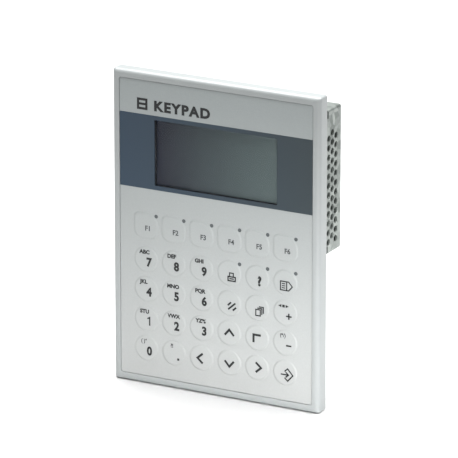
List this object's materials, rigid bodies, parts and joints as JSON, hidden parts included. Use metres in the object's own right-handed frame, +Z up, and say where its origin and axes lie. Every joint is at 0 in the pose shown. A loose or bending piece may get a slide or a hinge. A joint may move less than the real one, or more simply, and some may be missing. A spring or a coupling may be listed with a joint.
{
  "type": "keypad operator panel",
  "caption": "Flush-mount operator panel with a small text display above a membrane keypad, and a vented sheet-steel housing behind.",
  "frame": {"origin": "on the seat face (the back of the front frame, which lies on the cabinet panel), in the middle of the bare strip along its lower edge", "axes": "+Z up along the keypad's height, +X to the right of a person facing the keys, +Y into the cabinet"},
  "size_m": [0.148, 0.048, 0.208],
  "materials": {
    "painted_casting": "satin light grey paint",
    "printed_foil": "silver-grey printed polyester foil, fine matt texture",
    "key_cap": "the same foil, embossed",
    "spacer_foil": "plain film",
    "switch_circuit": "printed circuit with snap domes",
    "clear_window": "clear, slightly tinted",
    "display_frame": "dark",
    "lcd_glass": "grey-green display glass",
    "circuit_board": "solder mask",
    "ribbon_cable": "grey flat cable",
    "port_shell": "plated shell",
    "terminal_plastic": "green moulded plastic",
    "foam_gasket": "closed-cell foam",
    "zinc_coated_sheet": "zinc-coated sheet",
    "galvanised_sheet": "galvanised sheet with a grey spangle",
    "screw_steel": "zinc-plated"
  },
  "bodies": {
    "panel": {"front_frame": "painted_casting", "keypad_foil": "printed_foil", "keypad_spacer": "spacer_foil", "switch_circuit": "switch_circuit", "display_window": "clear_window", "lcd_frame": "display_frame", "lcd_glass": "lcd_glass", "lcd_board": "circuit_board", "main_board": "circuit_board", "power_board": "circuit_board", "ribbon_cable": "ribbon_cable", "serial_port": "port_shell", "power_header": "terminal_plastic", "power_plug": "terminal_plastic", "panel_gasket": "foam_gasket", "rear_tray": "zinc_coated_sheet", "rear_housing": "galvanised_sheet", "tray_screw_low_left": "screw_steel", "tray_screw_low_right": "screw_steel", "tray_screw_high_left": "screw_steel", "tray_screw_high_right": "screw_steel", "housing_screw_low_left": "screw_steel", "housing_screw_low_right": "screw_steel", "housing_screw_high_left": "screw_steel", "housing_screw_high_right": "screw_steel", "board_screw_low_left": "screw_steel", "board_screw_low_right": "screw_steel", "board_screw_high_left": "screw_steel", "board_screw_high_right": "screw_steel"},
    "key_f1": {"key_f1": "key_cap"},
    "key_f2": {"key_f2": "key_cap"},
    "key_f3": {"key_f3": "key_cap"},
    "key_f4": {"key_f4": "key_cap"},
    "key_f5": {"key_f5": "key_cap"},
    "key_f6": {"key_f6": "key_cap"},
    "key_7": {"key_7": "key_cap"},
    "key_8": {"key_8": "key_cap"},
    "key_9": {"key_9": "key_cap"},
    "key_print": {"key_print": "key_cap"},
    "key_help": {"key_help": "key_cap"},
    "key_list": {"key_list": "key_cap"},
    "key_4": {"key_4": "key_cap"},
    "key_5": {"key_5": "key_cap"},
    "key_6": {"key_6": "key_cap"},
    "key_lines": {"key_lines": "key_cap"},
    "key_pages": {"key_pages": "key_cap"},
    "key_plus": {"key_plus": "key_cap"},
    "key_1": {"key_1": "key_cap"},
    "key_2": {"key_2": "key_cap"},
    "key_3": {"key_3": "key_cap"},
    "key_up": {"key_up": "key_cap"},
    "key_home": {"key_home": "key_cap"},
    "key_minus": {"key_minus": "key_cap"},
    "key_0": {"key_0": "key_cap"},
    "key_point": {"key_point": "key_cap"},
    "key_left": {"key_left": "key_cap"},
    "key_down": {"key_down": "key_cap"},
    "key_right": {"key_right": "key_cap"},
    "key_enter": {"key_enter": "key_cap"}
  },
  "joints": [
    {"name": "press_f1", "type": "slide", "parent": "panel", "child": "key_f1", "axis": [0, 1, 0], "range_m": [0, 0.0005], "stiffness_N_per_m": 3000},
    {"name": "press_f2", "type": "slide", "parent": "panel", "child": "key_f2", "axis": [0, 1, 0], "range_m": [0, 0.0005], "stiffness_N_per_m": 3000},
    {"name": "press_f3", "type": "slide", "parent": "panel", "child": "key_f3", "axis": [0, 1, 0], "range_m": [0, 0.0005], "stiffness_N_per_m": 3000},
    {"name": "press_f4", "type": "slide", "parent": "panel", "child": "key_f4", "axis": [0, 1, 0], "range_m": [0, 0.0005], "stiffness_N_per_m": 3000},
    {"name": "press_f5", "type": "slide", "parent": "panel", "child": "key_f5", "axis": [0, 1, 0], "range_m": [0, 0.0005], "stiffness_N_per_m": 3000},
    {"name": "press_f6", "type": "slide", "parent": "panel", "child": "key_f6", "axis": [0, 1, 0], "range_m": [0, 0.0005], "stiffness_N_per_m": 3000},
    {"name": "press_7", "type": "slide", "parent": "panel", "child": "key_7", "axis": [0, 1, 0], "range_m": [0, 0.0005], "stiffness_N_per_m": 3000},
    {"name": "press_8", "type": "slide", "parent": "panel", "child": "key_8", "axis": [0, 1, 0], "range_m": [0, 0.0005], "stiffness_N_per_m": 3000},
    {"name": "press_9", "type": "slide", "parent": "panel", "child": "key_9", "axis": [0, 1, 0], "range_m": [0, 0.0005], "stiffness_N_per_m": 3000},
    {"name": "press_print", "type": "slide", "parent": "panel", "child": "key_print", "axis": [0, 1, 0], "range_m": [0, 0.0005], "stiffness_N_per_m": 3000},
    {"name": "press_help", "type": "slide", "parent": "panel", "child": "key_help", "axis": [0, 1, 0], "range_m": [0, 0.0005], "stiffness_N_per_m": 3000},
    {"name": "press_list", "type": "slide", "parent": "panel", "child": "key_list", "axis": [0, 1, 0], "range_m": [0, 0.0005], "stiffness_N_per_m": 3000},
    {"name": "press_4", "type": "slide", "parent": "panel", "child": "key_4", "axis": [0, 1, 0], "range_m": [0, 0.0005], "stiffness_N_per_m": 3000},
    {"name": "press_5", "type": "slide", "parent": "panel", "child": "key_5", "axis": [0, 1, 0], "range_m": [0, 0.0005], "stiffness_N_per_m": 3000},
    {"name": "press_6", "type": "slide", "parent": "panel", "child": "key_6", "axis": [0, 1, 0], "range_m": [0, 0.0005], "stiffness_N_per_m": 3000},
    {"name": "press_lines", "type": "slide", "parent": "panel", "child": "key_lines", "axis": [0, 1, 0], "range_m": [0, 0.0005], "stiffness_N_per_m": 3000},
    {"name": "press_pages", "type": "slide", "parent": "panel", "child": "key_pages", "axis": [0, 1, 0], "range_m": [0, 0.0005], "stiffness_N_per_m": 3000},
    {"name": "press_plus", "type": "slide", "parent": "panel", "child": "key_plus", "axis": [0, 1, 0], "range_m": [0, 0.0005], "stiffness_N_per_m": 3000},
    {"name": "press_1", "type": "slide", "parent": "panel", "child": "key_1", "axis": [0, 1, 0], "range_m": [0, 0.0005], "stiffness_N_per_m": 3000},
    {"name": "press_2", "type": "slide", "parent": "panel", "child": "key_2", "axis": [0, 1, 0], "range_m": [0, 0.0005], "stiffness_N_per_m": 3000},
    {"name": "press_3", "type": "slide", "parent": "panel", "child": "key_3", "axis": [0, 1, 0], "range_m": [0, 0.0005], "stiffness_N_per_m": 3000},
    {"name": "press_up", "type": "slide", "parent": "panel", "child": "key_up", "axis": [0, 1, 0], "range_m": [0, 0.0005], "stiffness_N_per_m": 3000},
    {"name": "press_home", "type": "slide", "parent": "panel", "child": "key_home", "axis": [0, 1, 0], "range_m": [0, 0.0005], "stiffness_N_per_m": 3000},
    {"name": "press_minus", "type": "slide", "parent": "panel", "child": "key_minus", "axis": [0, 1, 0], "range_m": [0, 0.0005], "stiffness_N_per_m": 3000},
    {"name": "press_0", "type": "slide", "parent": "panel", "child": "key_0", "axis": [0, 1, 0], "range_m": [0, 0.0005], "stiffness_N_per_m": 3000},
    {"name": "press_point", "type": "slide", "parent": "panel", "child": "key_point", "axis": [0, 1, 0], "range_m": [0, 0.0005], "stiffness_N_per_m": 3000},
    {"name": "press_left", "type": "slide", "parent": "panel", "child": "key_left", "axis": [0, 1, 0], "range_m": [0, 0.0005], "stiffness_N_per_m": 3000},
    {"name": "press_down", "type": "slide", "parent": "panel", "child": "key_down", "axis": [0, 1, 0], "range_m": [0, 0.0005], "stiffness_N_per_m": 3000},
    {"name": "press_right", "type": "slide", "parent": "panel", "child": "key_right", "axis": [0, 1, 0], "range_m": [0, 0.0005], "stiffness_N_per_m": 3000},
    {"name": "press_enter", "type": "slide", "parent": "panel", "child": "key_enter", "axis": [0, 1, 0], "range_m": [0, 0.0005], "stiffness_N_per_m": 3000}
  ]
}
